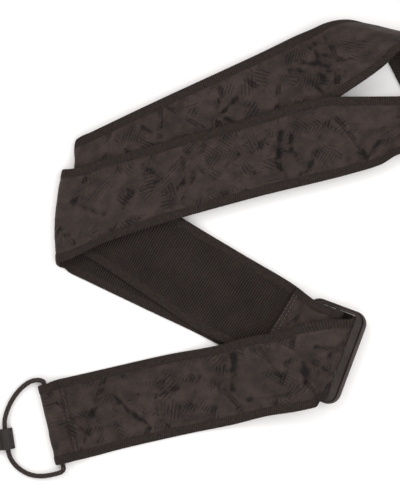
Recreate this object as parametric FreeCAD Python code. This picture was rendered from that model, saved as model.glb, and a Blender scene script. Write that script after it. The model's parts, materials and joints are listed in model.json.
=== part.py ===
"""Guitar strap laid flat: doubled 2 inch strap, slider, ring, leather end tab and a cord loop with a button tab."""
import FreeCAD, Part
import math
import os

V = FreeCAD.Vector
os.makedirs("parts", exist_ok=True)

# ---- driving dimensions, millimetres ----
FACE_T = 0.5                      # jacquard cloth
WEBBING_T = 1.1                   # ribbed webbing behind it
STRAP_T = FACE_T + WEBBING_T
HALF_T = STRAP_T / 2
LAYER = STRAP_T + 0.3             # rise from one strap layer to the next
FOLD_SPARE = 0.3                  # more rise at the tight inner fold
OVERLOCK_W = 0.7                  # thread that caps each long edge
OVERLOCK_HALF_T = 0.8
CLOTH_INSET = OVERLOCK_W + 0.04   # the cloth stops just short of the thread
SHIFT_X = -67.8                   # moves the layout so that the origin is under its middle
SHIFT_Y = -5.1
GAP = 0.15

FRAME_CENTRE = (76.6, -63.4)      # slider, seen from above
FRAME_ANGLE = -20.4               # direction across the bars
FRAME_W = 39.0
FRAME_L = 60.7
FRAME_OFFSET = (0.5, 0.6)         # frame's middle from the centre bar's, across and along the bars
FRAME_T = 2.6
FRAME_R = 8.0
SIDE_BAR_W = 7.6
END_WALL_W = 2.8
FRAME_TILT = 9.3
FRAME_MID_Z = 4.3                 # frame plane at its middle
BAR_Z = 4.9                       # round centre bar stands a little above that plane
BAR_R = 1.3

RING_WIRE = 3.5
RING_BAR_Z = 3.5
RING_FOOT = (148.3, 62.6)         # lower end of the strap on the ring's inner bar
RING_HEAD = (172.7, 108.5)
RING_REACH = 12.0                 # inner bar to outer bar
RING_SPARE = 2.4                  # bar beyond each edge of the strap

LEATHER_T = 1.5
END_TAB_L = 72.0
END_TAB_TIP_R = 13.0
BUTTON_HOLE_R = 4.0
SLIT_L = 9.0
SLIT_W = 1.0

CORD_D = 3.2
CORD_CLEAR = 0.15
HEM_TOP = (-100.4, -85.4)         # corners of the hemmed end
HEM_FOOT = (-89.2, -134.2)
HEM_AXIS_IN = 3.5                 # cord tunnel, measured in from the end
HEM_R = 2.7
HEM_AXIS_Z = HALF_T + HEM_R
HEM_FLAP = 16.5
CORD_TAB_Z = LEATHER_T + CORD_CLEAR + CORD_D / 2
BUTTON_TAB_L = 46.0
BUTTON_TAB_W = 13.0
BUTTON_TAB_TIP_R = 10.5
BUTTON_TAB_FLAP = 2.6

STITCH_L = 1.7
STITCH_W = 0.45
STITCH_H = 0.3


def unit2(x, y):
    length = math.hypot(x, y)
    return (x / length, y / length)


def pair(first, second, z_first, z_second=None):
    """A line straight across the strap, from its first long edge to its second."""
    z_end = z_first if z_second is None else z_second
    return (V(first[0], first[1], z_first), V(second[0], second[1], z_end))


ACROSS = (math.cos(math.radians(FRAME_ANGLE)), math.sin(math.radians(FRAME_ANGLE)))
ALONG = (-ACROSS[1], ACROSS[0])


def at_slider(u, v, z):
    x = FRAME_CENTRE[0] + u * ACROSS[0] + v * ALONG[0]
    y = FRAME_CENTRE[1] + u * ACROSS[1] + v * ALONG[1]
    return V(x, y, z)


def slider_pair(u, z, v_first=26.0, v_second=-26.0):
    return (at_slider(u, v_first, z), at_slider(u, v_second, z))


def slot_pair(first, second):
    """A line across the strap as (u, v, z) at the slider, where the strap runs obliquely."""
    return (at_slider(*first), at_slider(*second))


def fold(start, end, outward, reach, steps):
    """Stations between two layers, bulging outward by reach; the ends themselves are left out."""
    result = []
    for i in range(1, steps):
        angle = math.pi * i / steps
        share = (1 - math.cos(angle)) / 2
        push = V(outward[0], outward[1], 0) * (reach * math.sin(angle))
        result.append(tuple(a + (b - a) * share + push for a, b in zip(start, end)))
    return result


# ---- the strap's path, as named stretches of stations ----
def sewn_end():
    return [pair((60.7, -23.1), (34.5, -66.7), 5.8),
            slider_pair(-19.0, 7.9, 29.0, -25.0),
            slider_pair(-15.3, 8.4, 28.0, -25.5),
            slider_pair(-11.7, 8.9),
            slider_pair(0.6, 7.2)]


def bar_wrap():
    radius = (7.2 - 2.6) / 2
    result = []
    for degrees in (45, 0, -45, -90):
        angle = math.radians(degrees)
        result.append(slider_pair(0.6 + radius * math.cos(angle), BAR_Z + radius * math.sin(angle)))
    return result


def sewn_run():
    return [slider_pair(-2.6, 2.6),
            slider_pair(-11.2, 6.9),
            slider_pair(-15.3, 6.3, 28.0, -25.5),
            slider_pair(-19.0, 5.6, 29.0, -25.0),
            pair((60.7, -23.1), (34.5, -66.7), 3.5),
            pair((-3.1, 15.3), (-29.3, -28.2), HALF_T + LAYER),
            pair((-76.7, 64.5), (-79.4, 8.8), HALF_T + LAYER)]


def upper_run():
    return [pair((-76.0, 69.7), (-80.0, 9.3), HALF_T + 2 * LAYER + FOLD_SPARE),
            pair((-31.3, 91.0), (-10.0, 44.9), 5.0),
            pair((38.8, 123.4), (60.1, 77.3), 5.2),
            pair((61.3, 134.2), (88.0, 96.0), 5.4, 6.2),
            pair((69.9, 138.2), (120.1, 119.5), 8.0, 20.0)]


def soft_turn():
    return [pair((84.5, 143.0), (132.6, 128.9), 7.2, 18.5),
            pair((97.6, 143.6), (143.9, 131.4), 5.0, 12.0),
            pair((109.5, 133.9), (159.5, 122.0), 2.5, 4.5),
            pair((117.6, 117.6), (166.0, 113.0), HALF_T)]


def cross_run():
    return [pair((124.5, 103.9), (169.5, 110.5), HALF_T),
            pair(RING_FOOT, RING_HEAD, HALF_T)]


def front_run():
    top = 2 * RING_BAR_Z - HALF_T
    return [pair(RING_FOOT, RING_HEAD, top),
            pair((124.5, 59.6), (138.5, 99.8), 6.6, 7.6),
            pair((112.6, 53.0), (122.0, 96.0), 6.8, 8.2),
            pair((93.8, 47.6), (88.0, 95.6), 7.1, 8.6),
            pair((31.3, 31.9), (21.9, 79.5), 7.1, 7.4),
            pair((-86.8, -7.0), (-84.0, 50.0), HALF_T + 3 * LAYER + FOLD_SPARE)]


def lower_run():
    return [pair((-86.8, -7.0), (-84.0, 50.0), HALF_T),
            pair((-76.0, -16.6), (-58.0, 31.5), HALF_T),
            pair((-37.5, -35.3), (-15.5, 10.4), HALF_T),
            pair((9.4, -57.9), (31.4, -12.1), HALF_T),
            slider_pair(-27.0, 1.8, -25.0, 26.0),
            slider_pair(-19.0, 3.5, -25.5, 26.0),
            slider_pair(-15.3, 4.1, -26.0, 26.0),
            slider_pair(-11.2, 4.8, -26.0, 26.0),
            slider_pair(-3.5, HALF_T, -26.0, 26.0),
            slider_pair(1.0, HALF_T, -26.0, 26.0)]


def slider_fold():
    """Up through the right slot: steep at the first edge, rounder at the second."""
    return [slot_pair((5.6, -26.0, 1.1), (5.6, 26.0, 1.3)),
            slot_pair((8.9, -26.0, 2.9), (8.5, 25.8, 3.0)),
            slot_pair((9.8, -26.0, 5.2), (9.3, 25.4, 5.1)),
            slot_pair((9.7, -26.2, 7.2), (8.6, 24.9, 7.2))]


HEM_IN = unit2(0.975, 0.222)


def hem_pair(inward, z):
    ends = []
    for corner in (HEM_FOOT, HEM_TOP):
        ends.append(V(corner[0] + inward * HEM_IN[0], corner[1] + inward * HEM_IN[1], z))
    return tuple(ends)


def tail_run():
    return [slot_pair((9.3, -26.8, 8.7), (6.2, 24.3, 8.8)),
            slot_pair((8.9, -29.0, 9.6), (-1.8, 21.0, 9.8)),
            slot_pair((8.4, -31.4, 10.0), (-8.6, 17.5, 10.7)),
            pair((72.6, -97.2), (61.3, -46.3), 10.6, 10.8),
            pair((61.3, -100.1), (50.0, -50.7), 10.5, 10.5),
            pair((42.5, -103.2), (31.3, -53.8), 8.4, 8.9),
            pair((20.6, -109.0), (9.0, -59.9), 3.4, 5.0),
            pair((-7.5, -114.9), (-18.8, -65.1), HALF_T, 1.2),
            hem_pair(21.5, HALF_T),
            hem_pair(17.0, 2.55),
            hem_pair(12.0, 2.7),
            hem_pair(HEM_AXIS_IN, HEM_AXIS_Z + HEM_R)]


def build_path():
    """All stations in order, and the first and last index of each stretch."""
    turn_out = unit2(RING_HEAD[1] - RING_FOOT[1], RING_FOOT[0] - RING_HEAD[0])
    hem_out = (-HEM_IN[0], -HEM_IN[1])
    sewn = sewn_run()
    upper = upper_run()
    cross = cross_run()
    front = front_run()
    lower = lower_run()
    tail = tail_run()
    flap = [hem_pair(HEM_AXIS_IN, HALF_T), hem_pair(HEM_FLAP, HALF_T)]
    stretches = [("sewn_end", sewn_end()),
                 ("bar_wrap", bar_wrap()),
                 ("sewn_run", sewn),
                 ("inner_fold", fold(sewn[-1], upper[0], (-1, 0), 1.6, 4) + upper[:1]),
                 ("upper_run", upper[1:]),
                 ("soft_turn", soft_turn()),
                 ("cross_run", cross),
                 ("ring_fold", fold(cross[-1], front[0], turn_out, 2.7, 6) + front[:1]),
                 ("front_run", front[1:]),
                 ("outer_fold", fold(front[-1], lower[0], (-1, 0), 3.2, 6) + lower[:1]),
                 ("lower_run", lower[1:]),
                 ("slider_fold", slider_fold() + tail[:1]),
                 ("tail_run", tail[1:]),
                 ("hem_fold", fold(tail[-1], flap[0], hem_out, HEM_R, 6) + flap[:1]),
                 ("hem_flap", flap[1:])]
    stations = []
    spans = {}
    for name, part in stretches:
        first = max(len(stations) - 1, 0)
        stations += part
        spans[name] = (first, len(stations) - 1)
    return stations, spans


STATIONS, SPANS = build_path()


def face_normal(i):
    """Unit vector out of the jacquard side at one station."""
    before = STATIONS[max(i - 1, 0)]
    after = STATIONS[min(i + 1, len(STATIONS) - 1)]
    here = STATIONS[i]
    steps = []
    for a, b in ((before, here), (here, after)):
        step = (b[0] + b[1]) - (a[0] + a[1])
        if step.Length > 0:
            steps.append(step.normalize())
    travel = steps[0] + steps[-1]
    normal = (here[1] - here[0]).cross(travel)
    return normal.normalize()


NORMALS = [face_normal(i) for i in range(len(STATIONS))]


def section(i, from_edge, to_edge, low, high):
    """Corners of the strap's section; an inset is taken from the first edge or, if negative, the second."""
    first, second = STATIONS[i]
    along = (second - first).normalize()
    ends = []
    for inset in (from_edge, to_edge):
        base = first if inset >= 0 else second
        ends.append(base + along * inset)
    lift = NORMALS[i]
    return [ends[0] + lift * low, ends[1] + lift * low, ends[1] + lift * high, ends[0] + lift * high]


def flat_face(*points):
    return Part.Face(Part.makePolygon(list(points) + [points[0]]))


def band(first, last, from_edge, to_edge, low, high):
    """Closed solid along the stations; layers that touch cut their shared side into the same triangles."""
    sections = [section(i, from_edge, to_edge, low, high) for i in range(first, last + 1)]
    faces = [flat_face(*sections[0]), flat_face(*reversed(sections[-1]))]
    for here, ahead in zip(sections, sections[1:]):
        for k in range(4):
            j = (k + 1) % 4
            if k < 2:
                faces.append(flat_face(here[k], ahead[k], ahead[j]))
                faces.append(flat_face(here[k], ahead[j], here[j]))
            else:
                faces.append(flat_face(here[k], ahead[k], here[j]))
                faces.append(flat_face(here[j], ahead[k], ahead[j]))
    shell = Part.makeShell(faces)
    shell.sewShape()
    solid = Part.makeSolid(shell)
    if solid.Volume < 0:
        solid.reverse()
    return solid


def cylinder(start, end, radius):
    axis = end - start
    return Part.makeCylinder(radius, axis.Length, start, axis)


def placed(shape, centre, degrees, z=0.0):
    shape = shape.copy()
    shape.rotate(V(0, 0, 0), V(0, 0, 1), degrees)
    shape.translate(V(centre[0], centre[1], z))
    return shape


def rounded_plate(width, length, height, radius):
    """Centred plate with round corners, from z = 0 up."""
    box = Part.makeBox(width, length, height, V(-width / 2, -length / 2, 0))
    uprights = []
    for edge in box.Edges:
        a, b = edge.Vertexes[0].Point, edge.Vertexes[1].Point
        if abs(a.z - b.z) > height / 2:
            uprights.append(edge)
    return box.makeFillet(radius, uprights)


# ---- slider ----
def slider_frame():
    plate = rounded_plate(FRAME_W, FRAME_L, FRAME_T, FRAME_R)
    rims = [edge for edge in plate.Edges if edge.BoundBox.ZLength < 0.01]
    plate = plate.makeFillet(1.0, rims)
    slot_w = FRAME_W - 2 * SIDE_BAR_W
    opening = rounded_plate(slot_w, FRAME_L - 2 * END_WALL_W, 3 * FRAME_T, 1.5)
    opening.translate(V(0, 0, -FRAME_T))
    frame = plate.cut(opening)
    groove = Part.makeBox(0.5, FRAME_L - 2 * FRAME_R, 1.0, V(FRAME_W / 2 - 2.8, FRAME_R - FRAME_L / 2, FRAME_T - 0.3))
    frame = frame.cut(groove)
    frame.translate(V(FRAME_OFFSET[0], FRAME_OFFSET[1], -FRAME_T / 2))
    frame.rotate(V(0, 0, 0), V(0, 1, 0), -FRAME_TILT)
    bar_l = FRAME_L - 2 * END_WALL_W + 1.0
    bar = Part.makeCylinder(BAR_R, bar_l, V(0, FRAME_OFFSET[1] - bar_l / 2, BAR_Z - FRAME_MID_Z), V(0, 1, 0))
    return placed(frame.fuse(bar).removeSplitter(), FRAME_CENTRE, FRAME_ANGLE, FRAME_MID_Z)


# ---- ring and the leather tab on it ----
BAR_DIR = unit2(RING_HEAD[0] - RING_FOOT[0], RING_HEAD[1] - RING_FOOT[1])
TAB_DIR = (BAR_DIR[1], -BAR_DIR[0])
TAB_ANGLE = math.degrees(math.atan2(TAB_DIR[1], TAB_DIR[0]))
RING_MID = ((RING_FOOT[0] + RING_HEAD[0]) / 2, (RING_FOOT[1] + RING_HEAD[1]) / 2)
STRAP_AT_RING = math.hypot(RING_HEAD[0] - RING_FOOT[0], RING_HEAD[1] - RING_FOOT[1])


def ring():
    half = STRAP_AT_RING / 2 + RING_SPARE
    corner = 3.0
    outline = rounded_plate(RING_REACH, 2 * half, 1.0, corner)
    bottom = min(outline.Faces, key=lambda face: face.CenterOfMass.z)
    wire = bottom.OuterWire
    wire.translate(V(RING_REACH / 2, 0, 0))
    start = wire.OrderedEdges[0]
    point = start.valueAt(start.FirstParameter)
    tangent = start.tangentAt(start.FirstParameter)
    circle = Part.Wire([Part.makeCircle(RING_WIRE / 2, point, tangent)])
    body = wire.makePipeShell([circle], True, False)
    return placed(body, RING_MID, TAB_ANGLE, RING_BAR_Z)


def keyhole(x, low, high):
    """Round button hole with a slit that points back along the tab."""
    hole = Part.makeCylinder(BUTTON_HOLE_R, high - low, V(x, 0, low))
    slit = Part.makeBox(SLIT_L, SLIT_W, high - low, V(x - BUTTON_HOLE_R - SLIT_L + 1, -SLIT_W / 2, low))
    return hole.fuse(slit)


def tab_outline(x_start, half_start, x_tip, tip_r, low, high):
    """Tapered tab with a round tip, between two heights."""
    corners = [V(x_start, -half_start, low), V(x_tip, -tip_r, low), V(x_tip, tip_r, low), V(x_start, half_start, low)]
    body = Part.Face(Part.makePolygon(corners + corners[:1])).extrude(V(0, 0, high - low))
    tip = Part.makeCylinder(tip_r, high - low, V(x_tip, 0, low))
    return body.fuse(tip).removeSplitter()


def end_tab():
    """One leather strip folded round the ring's outer bar, its plies closing behind the bar."""
    half = STRAP_AT_RING / 2 - 1.5
    inner = RING_WIRE / 2 + GAP
    outer = inner + LEATHER_T
    meet = 9.0
    profile = [V(0, 0, outer), V(meet, 0, 2 * LEATHER_T - RING_BAR_Z + GAP),
               V(meet, 0, -RING_BAR_Z + GAP), V(0, 0, -outer)]
    wedge = Part.Face(Part.makePolygon(profile + profile[:1])).extrude(V(0, 2 * half, 0))
    wedge.translate(V(0, -half, 0))
    sleeve = Part.makeCylinder(outer, 2 * half, V(0, -half, 0), V(0, 1, 0))
    bore = Part.makeCylinder(inner, 2 * half, V(0, -half, 0), V(0, 1, 0))
    low = -RING_BAR_Z + GAP
    plate = tab_outline(meet, half, END_TAB_L - END_TAB_TIP_R, END_TAB_TIP_R, low, low + 2 * LEATHER_T)
    body = wedge.fuse([sleeve, plate]).cut(bore)
    body = body.cut(keyhole(END_TAB_L - END_TAB_TIP_R, low - 1, low + 2 * LEATHER_T + 1))
    body.translate(V(RING_REACH, 0, 0))
    return placed(body.removeSplitter(), RING_MID, TAB_ANGLE, RING_BAR_Z)


def stitch(x, y, z, degrees):
    body = Part.makeBox(STITCH_L, STITCH_W, STITCH_H, V(-STITCH_L / 2, -STITCH_W / 2, 0))
    return placed(body, (x, y), degrees, z)


def stitch_row(start, end, pitch=2.6):
    """Separate stitches from one 3-D point to another."""
    line = end - start
    count = max(2, int(line.Length / pitch))
    angle = math.degrees(math.atan2(line.y, line.x))
    result = []
    for i in range(count):
        point = start + line * ((i + 0.5) / count)
        result.append(stitch(point.x, point.y, point.z, angle))
    return result


def end_tab_stitches():
    top = -RING_BAR_Z + GAP + 2 * LEATHER_T + RING_BAR_Z
    half = STRAP_AT_RING / 2 - 4.5
    row = stitch_row(V(RING_REACH + 11.5, -half, 0), V(RING_REACH + 11.5, half, 0), 3.2)
    row += stitch_row(V(RING_REACH + 14.0, -half, 0), V(RING_REACH + 14.0, half, 0), 3.2)
    return [placed(item, RING_MID, TAB_ANGLE, top) for item in row]


# ---- cord loop and the small button tab on it ----
CORD_ROUTE = [(-104.2, -80.9, 2.3), (-109.6, -84.2, 1.8), (-114.5, -89.2, 1.8),
              (-118.4, -95.2, 1.9), (-121.0, -101.6, 2.6)]
CORD_TAB_TOP = (-122.5, -108.6, CORD_TAB_Z)
CORD_TAB_FOOT = (-119.6, -127.6, CORD_TAB_Z)
CORD_RETURN = [(-116.6, -133.2, 2.6), (-111.8, -137.7, 1.9), (-105.8, -140.7, 1.8),
               (-99.2, -142.2, 1.8), (-92.4, -141.6, 2.2)]
CORD_TURN_TOP = 3.5               # straight out of the hem before the first turn
CORD_TURN_FOOT = 5.0
CORD_INSET = 5.0                  # the loop's ends sit this far inside the hem


def hem_axis():
    top, foot = [V(corner[0] + HEM_AXIS_IN * HEM_IN[0], corner[1] + HEM_AXIS_IN * HEM_IN[1], HEM_AXIS_Z)
                 for corner in (HEM_TOP, HEM_FOOT)]
    return top, foot


def arc_tube(points, radius):
    """Tube along straight runs joined by tangent arcs; prints its radii and checks its volume."""
    edges = []
    radii = []
    cursor = points[0]
    for before, corner, after in zip(points, points[1:], points[2:]):
        back = (before - corner)
        ahead = (after - corner)
        setback = 0.45 * min(back.Length, ahead.Length)
        back.normalize()
        ahead.normalize()
        half_turn = (math.pi - back.getAngle(ahead)) / 2
        bend = setback / math.tan(half_turn)
        radii.append(bend)
        start = corner + back * setback
        end = corner + ahead * setback
        middle_dir = (back + ahead).normalize()
        middle = corner + middle_dir * (bend / math.cos(half_turn) - bend)
        edges.append(Part.LineSegment(cursor, start).toShape())
        edges.append(Part.Arc(start, middle, end).toShape())
        cursor = end
    edges.append(Part.LineSegment(cursor, points[-1]).toShape())
    wire = Part.Wire(edges)
    circle = Part.Wire([Part.makeCircle(radius, points[0], points[1] - points[0])])
    tube = wire.makePipeShell([circle], True, False)
    print("cord radii", [round(bend, 1) for bend in radii], "length", round(wire.Length, 1),
          "volume share", round(tube.Volume / (math.pi * radius ** 2 * wire.Length), 3))
    return tube


def cord_loop():
    top, foot = hem_axis()
    axis = (top - foot).normalize()
    route = [top - axis * CORD_INSET, top + axis * CORD_TURN_TOP]
    route += [V(*p) for p in CORD_ROUTE] + [V(*CORD_TAB_TOP), V(*CORD_TAB_FOOT)] + [V(*p) for p in CORD_RETURN]
    route += [foot - axis * CORD_TURN_FOOT, foot + axis * CORD_INSET]
    return arc_tube(route, CORD_D / 2)


def cord_in_hem():
    top, foot = hem_axis()
    axis = (top - foot).normalize()
    return cylinder(top - axis * CORD_INSET, foot + axis * CORD_INSET, CORD_D / 2)


TAB_CORD_DIR = unit2(CORD_TAB_TOP[0] - CORD_TAB_FOOT[0], CORD_TAB_TOP[1] - CORD_TAB_FOOT[1])
BUTTON_TAB_ANGLE = math.degrees(math.atan2(TAB_CORD_DIR[0], -TAB_CORD_DIR[1]))
BUTTON_TAB_MID = ((CORD_TAB_TOP[0] + CORD_TAB_FOOT[0]) / 2, (CORD_TAB_TOP[1] + CORD_TAB_FOOT[1]) / 2)


def button_ply(low, arch):
    """One ply of the small tab; the upper one arches over the cord."""
    half = BUTTON_TAB_W / 2
    high = low + LEATHER_T
    tip = BUTTON_TAB_L - BUTTON_TAB_TIP_R
    body = tab_outline(tip * 0.5, half, tip, BUTTON_TAB_TIP_R, low, high)
    neck = Part.makeBox(tip * 0.5 + BUTTON_TAB_FLAP + 2, BUTTON_TAB_W, LEATHER_T, V(-BUTTON_TAB_FLAP - 2, -half, low))
    body = body.fuse(neck)
    if arch:
        hump = Part.makeCylinder(CORD_D / 2 + CORD_CLEAR + LEATHER_T, BUTTON_TAB_W, V(0, -half, CORD_TAB_Z), V(0, 1, 0))
        hump = hump.common(Part.makeBox(30, BUTTON_TAB_W, 30, V(-15, -half, low)))
        channel = Part.makeCylinder(CORD_D / 2 + CORD_CLEAR, BUTTON_TAB_W, V(0, -half, CORD_TAB_Z), V(0, 1, 0))
        mouth = Part.makeBox(CORD_D + 2 * CORD_CLEAR, BUTTON_TAB_W, CORD_TAB_Z - low + 1,
                             V(-CORD_D / 2 - CORD_CLEAR, -half, low - 1))
        body = body.fuse(hump).cut(channel.fuse(mouth))
    body = body.cut(keyhole(tip, low - 1, high + 1))
    return placed(body.removeSplitter(), BUTTON_TAB_MID, BUTTON_TAB_ANGLE)


def button_tab_stitches():
    top = 2 * LEATHER_T
    half = BUTTON_TAB_W / 2 - 1.6
    row = stitch_row(V(4.6, -half, 0), V(4.6, half, 0))
    row += stitch_row(V(-3.7, -half, 0), V(-3.7, half, 0))
    return [placed(item, BUTTON_TAB_MID, BUTTON_TAB_ANGLE, top) for item in row]


def between(first, second, share):
    return tuple(a + (b - a) * share for a, b in zip(first, second))


def hem_stitches():
    rows = []
    for inward in (12.2, 14.6):
        foot, top = hem_pair(inward, 2.7 + HALF_T + 0.02)
        rows += stitch_row(foot + (top - foot) * 0.03, foot + (top - foot) * 0.97)
    return rows


def sewn_end_stitches():
    """Two rows through the sewn-back end, on its upper side."""
    ends = sewn_end()
    rows = []
    for share in (0.06, 0.16):
        first, second = between(ends[0], ends[1], share)
        up = V(0, 0, HALF_T + 0.15)
        rows += stitch_row(first + (second - first) * 0.1 + up, first + (second - first) * 0.9 + up)
    return rows


def save(name, shapes):
    """Shift into the part's frame and write one STEP file."""
    body = shapes if isinstance(shapes, Part.Shape) else Part.makeCompound(shapes)
    body = body.copy()
    body.translate(V(SHIFT_X, SHIFT_Y, 0))
    box = body.BoundBox
    print("%-26s valid %s solids %d  %7.1f %7.1f %6.2f  %7.1f %7.1f %6.2f" % (
        name, body.isValid(), len(body.Solids), box.XMin, box.YMin, box.ZMin, box.XMax, box.YMax, box.ZMax))
    body.exportStep("parts/%s.step" % name)
    return box


boxes = []
for stretch, (first, last) in SPANS.items():
    face = band(first, last, CLOTH_INSET, -CLOTH_INSET, HALF_T - FACE_T, HALF_T)
    webbing = band(first, last, CLOTH_INSET, -CLOTH_INSET, -HALF_T, HALF_T - FACE_T)
    boxes.append(save("jacquard_" + stretch, face))
    boxes.append(save("webbing_" + stretch, webbing))
LAST = len(STATIONS) - 1
boxes.append(save("overlock_first_edge", band(0, LAST, 0, OVERLOCK_W, -OVERLOCK_HALF_T, OVERLOCK_HALF_T)))
boxes.append(save("overlock_second_edge", band(0, LAST, -OVERLOCK_W, -0.001, -OVERLOCK_HALF_T, OVERLOCK_HALF_T)))
boxes.append(save("hem_stitches", hem_stitches()))
boxes.append(save("sewn_end_stitches", sewn_end_stitches()))
boxes.append(save("slider_frame", slider_frame()))
boxes.append(save("ring", ring()))
boxes.append(save("end_tab", end_tab()))
boxes.append(save("end_tab_stitches", end_tab_stitches()))
save("cord_loop", cord_loop())
save("cord_in_hem", cord_in_hem())
save("button_tab_lower_ply", button_ply(0.0, False))
save("button_tab_upper_ply", button_ply(LEATHER_T, True))
save("button_tab_stitches", button_tab_stitches())

whole = boxes[0]
for box in boxes:
    whole.add(box)
print("object box", whole)
print("ring mid", RING_MID, "tab angle", TAB_ANGLE, "button tab", BUTTON_TAB_MID, BUTTON_TAB_ANGLE)
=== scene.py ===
"""Looks for the guitar strap: woven cloth, thread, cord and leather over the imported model. Metres."""
import json
import math

import bpy
import numpy as np
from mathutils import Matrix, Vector


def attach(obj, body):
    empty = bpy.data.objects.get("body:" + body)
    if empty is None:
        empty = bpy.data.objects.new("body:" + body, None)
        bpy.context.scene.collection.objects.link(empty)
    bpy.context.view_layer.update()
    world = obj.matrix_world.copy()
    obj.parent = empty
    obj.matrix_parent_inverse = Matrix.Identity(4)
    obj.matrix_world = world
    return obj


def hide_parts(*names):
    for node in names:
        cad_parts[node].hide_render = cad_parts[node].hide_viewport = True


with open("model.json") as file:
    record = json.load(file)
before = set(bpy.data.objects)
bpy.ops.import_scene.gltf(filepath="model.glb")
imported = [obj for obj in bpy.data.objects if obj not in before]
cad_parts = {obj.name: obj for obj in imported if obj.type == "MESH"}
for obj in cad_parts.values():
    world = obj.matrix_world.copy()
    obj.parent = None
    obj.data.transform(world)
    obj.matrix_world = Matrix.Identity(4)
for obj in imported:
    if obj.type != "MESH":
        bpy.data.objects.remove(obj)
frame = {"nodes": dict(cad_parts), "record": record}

MM = 0.001
SHIFT = np.array([-67.8, -5.1, 0.0])          # the layout's own origin, as in the part
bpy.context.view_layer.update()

# ---- camera, floor and light ----
VIEW_X, VIEW_Y = SHIFT[0] * MM, SHIFT[1] * MM
CAMERA_Z = 1.5
VIEW_HEIGHT = 0.3128                          # what the frame's long side takes in at the floor


def area_light(name, place, target, size, power, colour=(1, 1, 1)):
    data = bpy.data.lights.new(name, "AREA")
    data.shape = "RECTANGLE"
    data.size, data.size_y = size
    data.energy = power
    data.color = colour
    light = bpy.data.objects.new(name, data)
    light.location = place
    light.rotation_euler = (Vector(target) - Vector(place)).to_track_quat("-Z", "Y").to_euler()
    bpy.context.collection.objects.link(light)


def make_stage():
    camera_data = bpy.data.cameras.new("view")
    camera_data.sensor_width = 36
    camera_data.lens = 36 * CAMERA_Z / VIEW_HEIGHT
    camera = bpy.data.objects.new("view", camera_data)
    camera.location = (VIEW_X, VIEW_Y, CAMERA_Z)
    bpy.context.collection.objects.link(camera)
    bpy.context.scene.camera = camera
    floor_mesh = bpy.data.meshes.new("floor")
    half = 4.0
    corners = [(-half, -half, 0), (half, -half, 0), (half, half, 0), (-half, half, 0)]
    floor_mesh.from_pydata(corners, [], [(0, 1, 2, 3)])
    floor = bpy.data.objects.new("floor", floor_mesh)
    bpy.context.collection.objects.link(floor)
    material = bpy.data.materials.new("paper_floor")
    material.use_nodes = True
    shader = material.node_tree.nodes["Principled BSDF"]
    shader.inputs["Base Color"].default_value = (0.9, 0.885, 0.88, 1)
    shader.inputs["Roughness"].default_value = 0.9
    shader.inputs["Specular IOR Level"].default_value = 0.1
    floor_mesh.materials.append(material)
    centre = (VIEW_X, VIEW_Y, 0)
    area_light("key", (VIEW_X - 0.75, VIEW_Y + 1.0, 1.1), centre, (0.9, 0.9), 11.5, (1, 0.985, 0.97))
    area_light("fill", (VIEW_X + 1.0, VIEW_Y + 0.2, 1.2), centre, (1.2, 1.2), 7)
    area_light("low", (VIEW_X + 0.1, VIEW_Y - 1.1, 0.9), centre, (1.4, 0.8), 6)
    world = bpy.data.worlds.new("studio")
    bpy.context.scene.world = world
    world.use_nodes = True
    background = world.node_tree.nodes["Background"]
    background.inputs["Color"].default_value = (1, 0.995, 0.99, 1)
    background.inputs["Strength"].default_value = 0.84
    bpy.context.scene.view_settings.view_transform = "Standard"


make_stage()

# ---- the strap's path, in the layout's millimetres: the part's driving lines, with more of them where
# ---- the cloth bends in ways that the part's solids leave out ----
STRAP_W = 50.8
HALF_T = 0.8
LAYER = 1.9
SPARE = 0.3
OVERLOCK_REACH = 5.6
SLIDER = (76.6, -63.4)
ANGLE = math.radians(-20.4)
ACROSS = (math.cos(ANGLE), math.sin(ANGLE))
ALONG = (-ACROSS[1], ACROSS[0])
BAR_Z = 4.9
RING_BAR_Z = 3.5
RING_FOOT, RING_HEAD = (148.3, 62.6), (172.7, 108.5)
HEM_TOP, HEM_FOOT = (-100.4, -85.4), (-89.2, -134.2)
HEM_IN = (0.975, 0.222)
HEM_R = 2.7
HEM_AXIS_IN = 3.5                             # from the hem's outer end to the cord inside it


def pair(first, second, z_first, z_second=None):
    z_end = z_first if z_second is None else z_second
    return [first[0], first[1], z_first, second[0], second[1], z_end]


def at_slider(u, v):
    return (SLIDER[0] + u * ACROSS[0] + v * ALONG[0], SLIDER[1] + u * ACROSS[1] + v * ALONG[1])


def slider_pair(u, z, v_first=26.0, v_second=-26.0):
    return pair(at_slider(u, v_first), at_slider(u, v_second), z)


def slot_pair(first, second):
    return pair(at_slider(*first[:2]), at_slider(*second[:2]), first[2], second[2])


def hem_pair(inward, z, spread=0.0):
    """A line across near the hemmed end; the upper edge stands out a little where the cord swells it."""
    ends = [(c[0] + inward * HEM_IN[0], c[1] + inward * HEM_IN[1]) for c in (HEM_FOOT, HEM_TOP)]
    return pair(ends[0], (ends[1][0], ends[1][1] + spread), z)


def fold(start, end, outward, reach, steps):
    result = []
    push = np.array([outward[0], outward[1], 0] * 2)
    for i in range(1, steps):
        turn = math.pi * i / steps
        share = (1 - math.cos(turn)) / 2
        point = np.array(start) + (np.array(end) - np.array(start)) * share + push * reach * math.sin(turn)
        result.append(list(point))
    return result


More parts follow.
